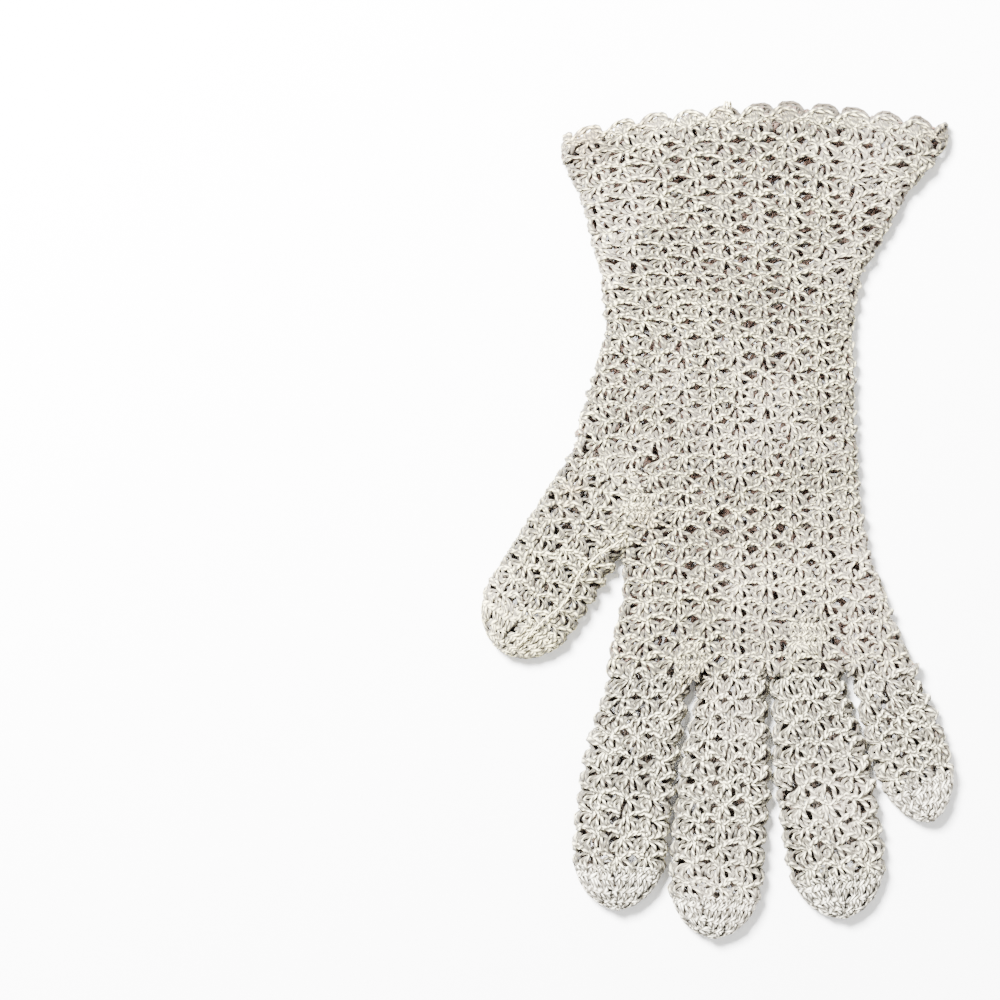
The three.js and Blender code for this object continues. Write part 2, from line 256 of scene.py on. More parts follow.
@dataclass(frozen=True)
class Yarn:
    """Two-ply cotton: the strand's radius, and the length of one turn of its plies."""

    radius: float
    lay: float = 1.9

    def strand(self, path: np.ndarray, resolution: int) -> dict[str, np.ndarray]:
        """Model one strand as a closed tube.

        Args:
            path: The points that it follows.
            resolution: Bevel steps of its round section: 0 for four sides, 1 for six.

        Returns:
            Its points, face corners, face starts, UV, and how far each point looks out of the cloth.
        """
        bpy.ops.object.select_all(action="DESELECT")
        bpy.ops.curve.primitive_nurbs_path_add()
        curve = bpy.context.object
        curve.data.splines.clear()
        spline = curve.data.splines.new("POLY")
        spline.points.add(len(path) - 1)
        spline.points.foreach_set("co", np.column_stack([path, np.ones(len(path))]).ravel())
        curve.data.dimensions = "3D"
        curve.data.bevel_depth = self.radius
        curve.data.bevel_resolution = resolution
        curve.data.use_fill_caps = True
        bpy.ops.object.convert(target="MESH")
        mesh = bpy.context.object.data
        points = read_values(mesh.vertices, "co", 3, float).reshape(-1, 3)
        corners = read_values(mesh.loops, "vertex_index", 1, int)
        starts = read_values(mesh.polygons, "loop_start", 1, int)
        uv = read_values(mesh.uv_layers[0].data, "uv", 2, float).reshape(-1, 2)[:, ::-1].copy()
        uv[:, 1] *= np.linalg.norm(np.diff(path, axis=0), axis=1).sum() / self.lay
        bpy.data.objects.remove(bpy.context.object)
        bpy.data.meshes.remove(mesh)
        caps = 2 * (4 + 2 * resolution)
        tube = points[caps:]
        nearest = np.linalg.norm(points[:caps, None] - tube[None], axis=2).argmin(axis=1)
        welded = np.concatenate([nearest, np.arange(len(tube))])
        crown = (tube.reshape(len(path), -1, 3)[..., 2] - path[:, None, 2]).ravel() / self.radius
        return {"points": tube, "corners": welded[corners], "starts": starts, "uv": uv, "crown": crown}

    def template(self, variants: list, resolution: int, strand_shades_and_tones: tuple[float, ...]) -> Template:
        """Model one stitch in several variants.

        Args:
            variants: For each variant, the paths of the strands.
            resolution: Bevel steps of the strands' round section.
            strand_shades_and_tones: How dark each strand is, from 0 to 1: painted shade, darker for strands
                that lie under others, with a little tone that differs between strands.

        Returns:
            The template.
        """
        worked = [[self.strand(path, resolution) for path in paths] for paths in variants]
        shared = worked[0]
        sizes = [len(strand["points"]) for strand in shared]
        first_point = np.cumsum([0, *sizes])
        first_corner = np.cumsum([0, *(len(strand["corners"]) for strand in shared)])
        return Template(
            points=np.array([np.vstack([s["points"] for s in strands]) for strands in worked]),
            corners=np.concatenate([s["corners"] + n for s, n in zip(shared, first_point)]),
            starts=np.concatenate([s["starts"] + n for s, n in zip(shared, first_corner)]),
            uv=np.vstack([s["uv"] for s in shared]),
            tone=np.concatenate([np.full(size, tone) for size, tone in zip(sizes, strand_shades_and_tones, strict=True)]),
            crown=np.array([np.concatenate([s["crown"] for s in strands]) for strands in worked]),
        )


@dataclass
class StitchPattern:
    """A stitch that is laid on the cloth in many copies.

    Args:
        width, row: Its own flat size.
        variants: How many variants it has, from the closest to the most open.
        wobble: How far its points stray in them.
        seed: Seed of its unevenness.
        yarn: What it is worked in.
        strand_shades_and_tones: How dark each of its strands is, from 0 to 1: painted shade, darker for
            strands that lie under others, with a little tone that differs between strands.
        hangs: Whether it hangs from its star, and doesn't stand on it.
    """

    width: float
    row: float
    variants: int
    wobble: float
    seed: int
    yarn: Yarn
    strand_shades_and_tones: tuple[float, ...]
    hangs: bool = False

    def paths(self, chance: np.random.Generator, gape: float) -> Strands:
        """Give the strands of one variant.

        Args:
            chance: Where its unevenness comes from.
            gape: How open it is, from 0 to 1.

        Returns:
            Each strand's points, across, along and out of the cloth, and its count of sections.
        """
        raise NotImplementedError

    def model(self, resolution: int) -> Template:
        """Model the stitch, each variant with its points moved a little.

        Args:
            resolution: Bevel steps of the strands' round section.

        Returns:
            The template.
        """
        chance = np.random.default_rng(self.seed)
        made = []
        for k in range(self.variants):
            moved = []
            for points, count in self.paths(chance, k / (self.variants - 1)):
                shift = smooth_path(list(chance.normal(0, self.wobble, (5, 3)) * (1, 1, 0.7)), len(points))
                moved.append(smooth_path(list(np.array(points) + shift), count))
            made.append(moved)
        return self.yarn.template(made, resolution, self.strand_shades_and_tones)

    def braid(self, line: list | tuple, lift: float, gap: float, count: int) -> Strands:
        """Lay two strands of a chain along a line, crossing over each other.

        Args:
            line: Points of the line, across and along the cloth.
            lift: How far it stands out.
            gap: How far each strand swings from the line.
            count: Sections in each strand.

        Returns:
            The two strands' points with their counts.
        """
        middle = smooth_path(line, count)
        heading = np.gradient(middle, axis=0)
        across = np.stack([-heading[:, 1], heading[:, 0]], axis=1)
        across /= np.linalg.norm(across, axis=1, keepdims=True)
        phase = np.linspace(0, 2 * math.pi * BRAID_TURNS, count)
        strands = []
        for sign in (1, -1):
            spread = middle + across * (sign * gap * np.cos(phase))[:, None]
            out = lift + sign * BRAID_DEPTH * np.sin(phase)
            strands.append(([(*p, h) for p, h in zip(spread, out)], count))
        return strands


@dataclass
class ShellStitch(StitchPattern):
    """An open stitch: a star of yarn, the posts that hang from it, and an arch of chain to the next star.

    Args:
        leg_sections, arch_sections: Sections along a post's strand, and along one of the arch's.
        hang, stand, cross: A post that hangs from the star, one that stands on it and one under the arch.
        turned: The ring, round its middle.
        middle: The ring's middle.
    """

    width: float = 9
    row: float = 5.8
    variants: int = 14
    wobble: float = 0.28
    seed: int = 11
    yarn: Yarn = Yarn(radius=0.6)
    # Painted shade by layer: the arch, which lies on top, is lightest, and the strands that cross under it
    # darkest
    strand_shades_and_tones: tuple[float, ...] = (0.2, 0.5, 0.8, 0.1, 0.6, 0.9, 0.3, 0.5, 0.0, 0.1)
    hangs: bool = True
    leg_sections: int = 7
    arch_sections: int = 11
    hang: tuple = ((0.1, 1.0, -0.6), (0.3, 0.3, 0.5), (0.85, -1.2, 0.85), (1.25, -2.7, 0.75),
                   (1.9, -3.9, 0.3), (2.3, -4.7, -0.5))
    stand: tuple = ((0.2, -0.5, -0.4), (0.62, 0.8, 0.6), (0.72, 2.1, 0.4), (0.5, 3.8, -0.9))
    cross: tuple = ((-3.4, 0.0, -0.4), (-1.7, -0.2, 0.35), (-0.3, -1.2, 0.5), (0.5, -2.5, 0.6),
                    (0.7, -4.0, -0.2))
    turned: tuple = ((1.0, 1.4), (-0.3, 1.1), (-1.1, 0.0), (-0.5, -1.1), (0.5, -1.1), (1.0, -0.2), (0.5, 0.7))
    middle: tuple[float, float] = (-2.3, -2.2)

    def paths(self, chance: np.random.Generator, gape: float) -> Strands:
        """Give the strands round the star, which lies at the top of the stitch."""
        curl, spread = chance.uniform(0.5, 1.1), chance.uniform(0.85, 1.2)
        rise, drop = 1.9 + 0.9 * gape + chance.normal(0, 0.15), 1.2 - 2.4 * gape + chance.normal(0, 0.2)
        drawn: Strands = []
        for sign in (-1, 1):
            drawn += [
                ([(sign * x * spread, y, h) for x, y, h in self.hang], self.leg_sections),
                ([(sign * x, y, h) for x, y, h in self.stand], 5),
                ([(self.width / 2 + sign * x, y + drop, h) for x, y, h in self.cross], 6),
            ]
        aside = 0.9 * gape - 0.2
        drawn.append(([
            (0.4, 0.3, 0.1), (1.6, -0.5, 0.5), (2.9 + aside / 2, -1.4, 0.65), (3.5 + aside, -2.9, 0.5),
            (3.5 + aside, -4.3, -0.2), (3.2, -5.0, -0.6),
        ], self.leg_sections))
        mid_x, mid_y = self.middle
        ring = [(mid_x + x * curl, mid_y + y * curl, 0.55 - 0.09 * k) for k, (x, y) in enumerate(self.turned)]
        drawn.append(([(-0.4, 0.2, 0.1), *ring, (-2.9, -2.1, -0.7)], self.arch_sections))
        climb = [(1.5, 0.3 * rise), (2.9, 0.8 * rise), (4.5, rise)]
        arch = [(0.4, -0.2), *climb, *((self.width - x, y) for x, y in climb[1::-1]), (8.6, -0.2)]
        drawn += self.braid(arch, 0.6, 0.4, self.arch_sections)
        return [([(x, y + self.row, h) for x, y, h in points], count) for points, count in drawn]


@dataclass
class ScallopStitch(ShellStitch):
    """The rim's stitch: a fan of doubled posts under a free dome.

    Args:
        turns: The posts' leans, in degrees.
        leg_gap: How far a doubled post's strands stand apart, by half.
        dome: The dome's line.
    """

    variants: int = 6
    seed: int = 12
    hangs: bool = False
    # Painted shade by layer: the dome, which lies on top, is lighter than the posts under it
    strand_shades_and_tones: tuple[float, ...] = (0.4, 0.6, 0.5, 0.6, 0.4, 0.5, 0.0, 0.1)
    turns: tuple[float, ...] = (-62, -36, -12, 12, 36, 62)
    leg_gap: float = 0.37
    dome: tuple = ((-4.6, 0.0), (-4.2, 1.4), (-2.8, 3.6), (0, 5.3), (2.8, 3.6), (4.2, 1.4), (4.6, 0.0))

    def paths(self, chance: np.random.Generator, gape: float) -> Strands:
        """Give the strands of the scallop."""
        strands = []
        for turn in self.turns:
            angle = math.radians(turn)
            way = np.array([math.sin(angle), math.cos(angle)])
            start = np.array([way[0] * 0.8, 0.1])
            end = np.array([way[0] * 3.9, 0.4 + way[1] * 3.7])
            side = np.array([way[1], -way[0]]) * self.leg_gap
            middle = (start + end) / 2
            strands.append(([
                (*(start - side * 0.6 - (0, 0.9)), -0.5),
                (*(start - side * 0.7), 0.6),
                (*(middle - side * 1.1), 0.4),
                (*end, -0.2),
                (*(middle + side * 1.1), 0.45),
                (*(start + side * 0.7), 0.6),
                (*(start + side * 0.6 - (0, 0.9)), -0.5),
            ], self.leg_sections))
        return strands + self.braid(self.dome, 0.35, 0.42, self.arch_sections + 6)


@dataclass
class CloseStitch(StitchPattern):
    """A short stitch: one V of yarn under its own link of chain."""

    width: float = CLOSE_WIDTH
    row: float = CLOSE_ROW
    variants: int = 8
    wobble: float = 0.2
    seed: int = 13
    yarn: Yarn = Yarn(radius=0.5)
    # Painted shade by layer: the link on top is lightest and the bar that lies lowest darkest
    strand_shades_and_tones: tuple[float, ...] = (0.1, 0.2, 0.0, 0.3, 0.8)

    def paths(self, chance: np.random.Generator, gape: float) -> Strands:
        """Give the strands of the stitch."""
        legs = [(-0.2, -0.5, -0.2), (-0.6, 0.7, 0.55), (-0.85, 1.8, 0.45), (-0.2, 2.7, -0.3)]
        mirrored = [(-x, y, h) for x, y, h in legs]
        link = [(-1.6, 1.6, -0.1), (-0.9, 2.2, 0.5), (0.4, 2.7, 0.6), (1.5, 2.9, 0.0)]
        under = [(-1.5, 2.7, 0.0), (-0.4, 2.3, 0.15), (0.8, 2.2, 0.55), (1.6, 1.7, 0.1)]
        bar = [(-1.5, 0.9, -0.25), (-0.5, 1.0, -0.1), (0.5, 1.3, -0.1), (1.5, 1.1, -0.3)]
        return [(legs, 5), (mirrored, 5), (link, 5), (under, 5), (bar, 3)]


@dataclass
class Batch:
    """Copies of one stitch, laid on the cloth."""

    template: Template
    points: np.ndarray
    # Each point's painted shade inside the cloth, and its painted shade on the strands' sides and lower
    # strands with a random tone
    recess: np.ndarray
    tone: np.ndarray


@dataclass
class StitchedTube:
    """A tube of cloth worked in rounds of one stitch.

    Args:
        tube: The cloth's middle surface.
        pattern: The stitch.
        rows: The first round and the one after the last.
        pitch: Width of a stitch at a row.
        seed: Seed of its unevenness.
        slack: How far a stitch strays from its even place.
        offset: How far each round is turned from the last, in stitches.
        climb: How far its rounds have climbed at the back, in rounds.
        level: The round at which they are level again.
        wave: How far the rounds wander up and down, in rounds.
        lean: How far a stitch leans to a side, as a slope.
        puff: How much its width varies, as a share.
        occlusion_strength: How dark the yarn inside the cloth and the strands' undersides are, as painted
            shade.
        flank_shade: How dark each strand's sides and underside are, as painted shade.
        sink_shade: How dark its lower strands are, as painted shade.
            strand_shade_scale, stitch_tone: How far the painted shade varies between a stitch's strands, and
                how far the tone varies at random between stitches.
        lift: How far the stitches stand out from the cloth.
        openness: How open the stitches are at a place, from 0 to 1.
        mixing: How far the openness of neighbours varies.
    """

    tube: ClothTube
    pattern: StitchPattern
    rows: tuple[int, int]
    pitch: Callable[[float], float]
    seed: int
    slack: float = 0.3
    offset: float = 0
    climb: float = 0.5
    level: float = 99
    wave: float = 0.07
    lean: float = 0.06
    puff: float = 0.08
    occlusion_strength: float = 1.0
    flank_shade: float = 0.8
    sink_shade: float = 0.3
    strand_shade_scale: float = 0.5
    stitch_tone: float = 0.18
    lift: float = 0
    openness: Callable[[np.ndarray, np.ndarray], np.ndarray] = lambda x, y: 0.3 + 0 * x
    mixing: float = 0.2

    def stars(self, row: int) -> tuple[np.ndarray, np.ndarray]:
        """Give the places round the tube from which a round's stitches rise, and their stray along it."""
        girth = float(self.tube.girth(row))
        count = max(4, round(girth / self.pitch(row)))
        chance = np.random.default_rng([self.seed, row])
        even = (np.arange(count) + self.offset * row) / count
        return even + chance.normal(0, self.slack, count) / girth, chance.normal(0, self.slack / 8, count)

    def lay(self, row: int) -> dict[str, np.ndarray]:
        """Work out where a round's stitches lie.

        Args:
            row: The round.

        Returns:
            For each stitch: where its star lies round the tube, the way to the nearest one at its other end,
            how far both stray along the tube, the gaps to the neighbours of both, and its round.
        """
        hangs = int(self.pattern.hangs)
        star, stray = self.stars(row + hangs)
        other, other_stray = self.stars(row + 1 - hangs)
        apart = (other[None, :] - star[:, None] + 0.5) % 1 - 0.5
        nearest = np.abs(apart).argmin(axis=1)

        def gaps(places: np.ndarray) -> tuple[np.ndarray, np.ndarray]:
            after = (np.roll(places, -1) - places) % 1
            return np.roll(after, 1), after

        left, right = gaps(star)
        other_left, other_right = gaps(other)
        return {
            "star": star, "shift": apart[np.arange(len(star)), nearest], "stray": stray,
            "other_stray": other_stray[nearest], "left": left, "right": right,
            "other_left": (left + other_left[nearest]) / 2, "other_right": (right + other_right[nearest]) / 2,
            "row": np.full(len(star), float(row)),
        }

    def lay_all(self) -> tuple[dict[str, np.ndarray], np.ndarray, np.ndarray]:
        """Work out where all the rounds' stitches lie, their middles, and which are in the upper layer."""
        rounds = [self.lay(row) for row in range(*self.rows)]
        laid = {key: np.concatenate([r[key] for r in rounds]) for key in rounds[0]}
        spot = laid["row"] + 0.5, laid["star"]
        return laid, self.tube.place(*spot), self.tube.faces_up(*spot)

    def work(self, laid: dict[str, np.ndarray], template: Template) -> Batch:
        """Lay copies of the stitch on the cloth.

        Args:
            laid: Where the stitches lie, from lay_all.
            template: The modelled stitch.

        Returns:
            The copies.
        """
        count = len(laid["row"])
        chance = np.random.default_rng([self.seed, 99, count])
        place = self.tube.place(laid["row"] + 0.9, laid["star"])
        which = self.openness(place[:, 0], place[:, 1]) + chance.normal(0, self.mixing, count)
        which = np.clip(which * len(template.points), 0, len(template.points) - 1).astype(int)
        flat = template.points[which]
        x, y, h = flat[..., 0], flat[..., 1], flat[..., 2]
        x = x + y * chance.normal(0, self.lean, (count, 1))
        t = np.clip(y / self.pattern.row, -0.2, 1.1)
        t = 1 - t if self.pattern.hangs else t
        puff = chance.normal(1.0, self.puff, (count, 1))
        column = {key: value[:, None] for key, value in laid.items()}
        left, right, stray = (
            column[key] * (1 - t) + column[f"other_{key}"] * t for key in ("left", "right", "stray")
        )
        away = x / self.pattern.width * np.where(x < 0, left, right) * puff
        side = column["star"] + column["shift"] * t + away
        around = (side + 0.5) % 1 - 0.5
        row = column["row"]
        climb = self.climb * (1 - smoothstep(row, self.level - 6, self.level - 1))
        back = smoothstep(np.abs(around), 0.24, 0.4)
        stray = stray + climb * np.maximum(back, smoothstep(row, 1, 6) * smoothstep(around, 0.06, 0.26))
        stray = stray + self.wave * np.sin(around * 31 + row * 0.5) * np.sin(around * 12 + self.seed)
        points = self.tube.place(row + y / self.pattern.row + stray, side, h + self.lift)
        crown = template.crown[which]
        # Painted shade: strands that lie under others, each strand's sides and underside, and the lower
        # strands are darker, on top of a random tone for each stitch
        tone = template.tone[None, :] * self.strand_shade_scale + chance.random((count, 1)) * self.stitch_tone
        tone = tone + smoothstep(-crown, -1.0, -0.1) * self.flank_shade + smoothstep(-h, -0.8, 0.3) * self.sink_shade
        # Painted shade inside the cloth: yarn below the cloth's middle and the strands' undersides blend
        # towards the dark colour of painted shade
        recess = np.maximum(smoothstep(-h, 0.0, 0.8), smoothstep(-crown, 0.1, 0.6)) * self.occlusion_strength
        return Batch(template, points, recess, tone)


def build_piece(name: str, batches: list[Batch], shift: np.ndarray) -> bpy.types.Object:
    """Join laid stitches into one object.

    Args:
        name: The piece's name.
        batches: Its stitches.
        shift: From the pattern's own place to the frame's, in millimetres.

    Returns:
        The object, at the origin.
    """
    corners, starts = [], []
    first_point = first_corner = 0
    for batch in batches:
        count, size = batch.points.shape[:2]
        template = batch.template
        copies = np.arange(count)[:, None]
        corners.append((template.corners[None, :] + copies * size).ravel() + first_point)
        starts.append((template.starts[None, :] + copies * len(template.corners)).ravel() + first_corner)
        first_point += count * size
        first_corner += count * len(template.corners)
    cloud = np.vstack([batch.points.reshape(-1, 3) for batch in batches]) + shift
    pressed = FLOOR_SKIN * np.exp(cloud[:, 2] / FLOOR_SKIN - 1)
    cloud[:, 2] = np.where(cloud[:, 2] < FLOOR_SKIN, pressed, cloud[:, 2])
    mesh = bpy.data.meshes.new(name)
    mesh.vertices.add(first_point)
    mesh.vertices.foreach_set("co", (cloud / MM_PER_M).ravel())
    mesh.loops.add(first_corner)
    mesh.loops.foreach_set("vertex_index", np.concatenate(corners))
    starts = np.concatenate(starts)
    mesh.polygons.add(len(starts))
    mesh.polygons.foreach_set("loop_start", starts)
    mesh.update(calc_edges=True)
    mesh.polygons.foreach_set("use_smooth", np.ones(len(starts), bool))
    uvs = np.vstack([np.tile(batch.template.uv, (len(batch.points), 1)) for batch in batches])
    mesh.uv_layers.new(name="Strand").data.foreach_set("uv", uvs.ravel())
    # Each point's painted shade inside the cloth, and its painted shade with random tone, go to the mesh as
    # attributes
    for label in ("recess", "tone"):
        values = np.concatenate([getattr(batch, label).ravel() for batch in batches])
        layer = mesh.attributes.new(label, "FLOAT", "POINT")
        layer.data.foreach_set("value", values.astype(np.float32))
    piece = bpy.data.objects.new(name, mesh)
    bpy.context.scene.collection.objects.link(piece)
    return piece


@dataclass
class Body:
    """The hand, the flared cuff and its scalloped rim, as one tube of cloth.

    Args:
        rows: Rounds in the hand and in the cuff. The rim is one more.
        hand_length, cuff_length, rim_length, height: Their sizes.
        bow: How far the rim's middle reaches beyond its sides.
        stagger: How far its lower layer reaches beyond the upper one.
        scallop, rib: How far the sides and the top draw in between rounds.
        rim: Where its sides are.
        sections: Along the hand, as shares of its length: the sides and the height's share.
        flare: Along the cuff: how far it has spread to the rim, and the height's share.
        middle, pitches: Along both: where the count of stitches starts, and how wide one is.
    """

    rows: tuple[int, int] = (22, 10)
    hand_length: float = 128
    cuff_length: float = 48
    rim_length: float = 5.6
    height: float = 9.6
    bow: float = 7
    stagger: float = 3.9
    scallop: float = 0.9
    rib: float = 0.4
    rim: tuple[float, float] = (-51.2, 76.8)
    sections: tuple = (
        (0.0, -36.8, 67.2, 0.93), (0.155, -32.3, 58.4, 0.97), (0.21, -30.4, 56.0, 0.99),
        (0.32, -30.7, 50.8, 1.0), (0.45, -38.6, 47.6, 1.0), (0.593, -47.1, 46.4, 0.98),
        (0.67, -45.2, 45.5, 0.97), (0.8, -39.9, 45.5, 0.96), (0.9, -36.3, 44.7, 0.95),
        (1.0, -37.4, 46.5, 0.95),
    )
    flare: tuple = ((0, 0, 0.95), (0.15, 0.05, 0.95), (0.29, 0.2, 0.95), (0.5, 0.38, 0.96), (0.7, 0.56, 0.97),
                    (0.84, 0.81, 0.98), (1, 1, 1))
    middle: tuple = ((0, 15.2), (32, 15.8), (60, 15.7), (100, 15.5), (128, 14.5), (150, 13.2), (181, 11.5))
    pitches: tuple = ((0, 9.9), (32, 9.75), (51, 9.3), (62, 8.9), (99, 8.9), (117, 9.4), (142, 10.4),
                      (162, 10.6), (181, 10.8))

    def reach(self, row: float) -> float:
        """Give the distance from the knuckles at a row: the palm's rows are a little longer below."""
        palm, cuff = self.rows
        if row <= palm:
            share = row / palm
            return self.hand_length * share * (1 + 0.1 * (1 - share))
        share = (row - palm) / cuff
        return self.hand_length + self.cuff_length * min(share, 1)

    def pitch(self, row: float) -> float:
        """Give the width of a shell at a row."""
        return float(np.interp(self.reach(row), *zip(*self.pitches)))

    def ring(self, row: float) -> Ring:
        """Give the cross-section at a row."""
        palm, cuff = self.rows
        y = self.reach(row)
        bulge = bulge_at(row)
        along, left, right, rise = zip(*self.sections)
        share = y / self.hand_length
        lo, hi, up = (float(np.interp(share, along, column)) for column in (left, right, rise))
        bow = stagger = 0.0
        if row > palm:
            share = (y - self.hand_length) / self.cuff_length
            at, spread, raised = zip(*self.flare)
            flare = float(np.interp(share, at, spread))
            lo, hi = lo + (self.rim[0] - lo) * flare, hi + (self.rim[1] - hi) * flare
            up = float(np.interp(share, at, raised))
            bow = self.bow * share**2
            stagger = self.stagger * float(np.clip((row - palm - cuff) / STAGGER_ROWS + 1, 0, 1))
        if row > palm + cuff:
            y += self.rim_length * (row - palm - cuff)
            bulge = 0.4 * bulge
        middle = float(np.interp(y, *zip(*self.middle)))
        x = (lo + hi) / 2
        half = (hi - lo) / 2 - self.scallop * (1 - bulge)
        return Ring(x, y, 0, half, up * self.height - self.rib * (1 - bulge), bow, stagger, middle - x)

    def tube(self, split: int = 1) -> ClothTube:
        """Build the cloth's middle surface, from a little before the knuckles to the rim.

        Args:
            split: How many rows each of its rounds is split into.

        Returns:
            The surface.
        """
        steps = STATIONS_PER_ROW * split
        last = (sum(self.rows) + 1) * steps + 2 * split
        return ClothTube([self.ring(k / steps) for k in range(-4 * split, last + 1)], -0.5 * split)

    def base(self, share: float) -> tuple[float, float]:
        """Give the place of a finger's middle on the knuckle line."""
        _, left, right, _ = self.sections[0]
        return (left + right) / 2 + (2 * share - 1) * (right - left) / 2, 0.0


@dataclass
class Digit:
    """A finger or the thumb: an open tube of shells with a closely worked tip.

    Args:
        name: Its name.
        length, width: Its size from the base.
        lean: Its lean from straight down, in degrees.
        bend: How far its tip curves back, as a share of its width.
        root: How wide it starts, as a share of its width.
        point: How long its round end is, as a share of its width.
        rows: Its rounds of shells.
        base: Where its middle starts.
        square: Whether it starts square to the hand.
        hidden: Rounds that run on under the hand.
        around: Stitches in a round.
        fold: How smooth its left edge is: at 1 only the right one is scalloped.
        tip_length, tip_rows: The tip's size and its rounds.
        overlap: How far the open part reaches over the tip.
        height: Its height above the floor.
        scallop, rib: How far the sides and the top draw in between rounds.
        seed: Seed of its stitches.
    """

    name: str
    length: float
    width: float
    lean: float
    bend: float
    root: float
    point: float
    rows: int
    base: tuple[float, float]
    square: bool = True
    hidden: int = 0
    around: int = 7
    fold: float = 0
    tip_length: float = 11.2
    overlap: float = 1.2
    tip_rows: int = 4
    height: float = 8.6
    scallop: float = 2.2
    rib: float = 0.4
    seed: int = 1

    def ring(self, reach: float, bulge: float) -> Ring:
        """Give the cross-section at a distance from the base."""
        lean = math.radians(self.lean)
        along = reach / self.length
        heading = 0.0 if self.square and reach < 0 else lean
        turned = float(smoothstep(along, 0, SQUARE_REACH)) if self.square else 1.0
        bend = self.bend * self.width * along * abs(along)
        grown = float(smoothstep(along, 0, ROOT_REACH))
        left = max(self.length - reach, 0) / (self.point * self.width)
        round_end = math.sqrt(max(1 - (1 - min(left, 1)) ** 2, 0))
        width = self.width * (self.root + (1 - self.root) * grown) * round_end
        notch = self.scallop * (1 - bulge) * (1 - 0.5 * self.fold)
        return Ring(
            x=self.base[0] + math.sin(heading) * reach + math.cos(lean) * bend - notch * self.fold,
            y=self.base[1] - math.cos(heading) * reach + math.sin(lean) * bend,
            turn=turned * (lean + math.copysign(1, along) * math.atan2(2 * bend, max(abs(reach), 1e-6))),
            half=max(width / 2 - notch, 0.8),
            height=self.height * (TIP_RISE + (1 - TIP_RISE) * round_end) - self.rib * (1 - bulge),
        )

    def tube(self) -> ClothTube:
        """Build the open part's middle surface, from the tip's edge to the base and under the hand."""
        open_length = self.length - self.tip_length + self.overlap
        rings = []
        for k in range(-2, (self.rows + self.hidden) * STATIONS_PER_ROW + 7):
            row = k / STATIONS_PER_ROW
            rings.append(self.ring(open_length * (1 - row / self.rows), bulge_at(row)))
        return ClothTube(rings, -2 / STATIONS_PER_ROW)

    def tip_tube(self) -> ClothTube:
        """Build the tip's middle surface, in rounds that shrink to the end."""
        full = self.point * self.width
        widest = math.acos(1 - min(self.tip_length / full, 1))
        rings = []
        for k in range((self.tip_rows + 1) * STATIONS_PER_ROW + 1):
            row = k / STATIONS_PER_ROW
            angle = widest * min(row / self.tip_rows, 1)
            further = max(row - self.tip_rows, 0) * CLOSE_ROW
            rings.append(self.ring(self.length - full * (1 - math.cos(angle)) - further, 0.8))
        return ClothTube(rings, 0)


@dataclass(frozen=True)
class Nodes:
    """A node tree that is wired with short calls."""

    tree: bpy.types.NodeTree

    def add(self, kind: str, **settings: object) -> bpy.types.Node:
        """Add a node.

        Args:
            kind: The node's type.
            **settings: Its properties, or its input sockets by index as in0, in1, or by name.

        Returns:
            The node.
        """
        node = self.tree.nodes.new(kind)
        for key, value in settings.items():
            if key.startswith("in") and key[2:].isdigit():
                self.feed(node.inputs[int(key[2:])], value)
            elif hasattr(node, key):
                setattr(node, key, value)
            else:
                self.feed(node.inputs[key.replace("_", " ")], value)
        return node

    def feed(self, socket: bpy.types.NodeSocket, value: object) -> None:
        """Link a socket, or set it."""
        if isinstance(value, bpy.types.NodeSocket):
            self.tree.links.new(value, socket)
        else:
            socket.default_value = value

    def math(self, operation: str, *values: object) -> bpy.types.NodeSocket:
        """Add a Math node and give its value."""
        node = self.add("ShaderNodeMath", operation=operation)
        for socket, value in zip(node.inputs, values):
            self.feed(socket, value)
        return node.outputs[0]

    def mix(self, share: object, low: object, high: object, blend: str = "MIX") -> bpy.types.NodeSocket:
        """Add a colour Mix node and give its colour."""
        node = self.add("ShaderNodeMix", data_type="RGBA", blend_type=blend)
        for socket, value in ((node.inputs[0], share), (node.inputs[6], low), (node.inputs[7], high)):
            self.feed(socket, value)
        return node.outputs[2]


def open_group(name: str, inputs: dict[str, str], outputs: dict[str, str]) -> tuple[Nodes, dict, dict]:
    """Start a shader node group.

    Args:
        name: The group's name.
        inputs: Kinds of its input sockets by name.
        outputs: Kinds of its output sockets by name.

    Returns:
        Its nodes, its input sockets by name and its output sockets by name.
    """
    tree = bpy.data.node_groups.new(name, "ShaderNodeTree")
    for way, sockets in (("INPUT", inputs), ("OUTPUT", outputs)):
        for label, kind in sockets.items():
            tree.interface.new_socket(label, in_out=way, socket_type=f"NodeSocket{kind}")
    nodes = Nodes(tree)
    entry, leave = nodes.add("NodeGroupInput"), nodes.add("NodeGroupOutput")
    return nodes, {n: entry.outputs[n] for n in inputs}, {n: leave.inputs[n] for n in outputs}


def ply_twist_group() -> bpy.types.NodeTree:
    """Build the group that gives a strand the ridges of its twisted plies and a little fuzz."""
    nodes, given, out = open_group(
        "Ply twist",
        {"Strand": "Vector", "Place": "Vector", "Plies": "Float", "Fuzz": "Float"},
        {"Height": "Float"},
    )
    parts = nodes.add("ShaderNodeSeparateXYZ", in0=given["Strand"])
    turn = nodes.math("ADD", nodes.math("MULTIPLY", parts.outputs[0], given["Plies"]), parts.outputs[1])
    wave = nodes.math("ABSOLUTE", nodes.math("SINE", nodes.math("MULTIPLY", turn, math.pi)))
    ridge = nodes.math("POWER", wave, 1.1)
    fuzz = nodes.add("ShaderNodeTexNoise", Vector=given["Place"], Scale=2600.0, Detail=3.0, Roughness=0.7)
    height = nodes.math("ADD", ridge, nodes.math("MULTIPLY", fuzz.outputs["Fac"], given["Fuzz"]))
    nodes.feed(out["Height"], height)
    return nodes.tree


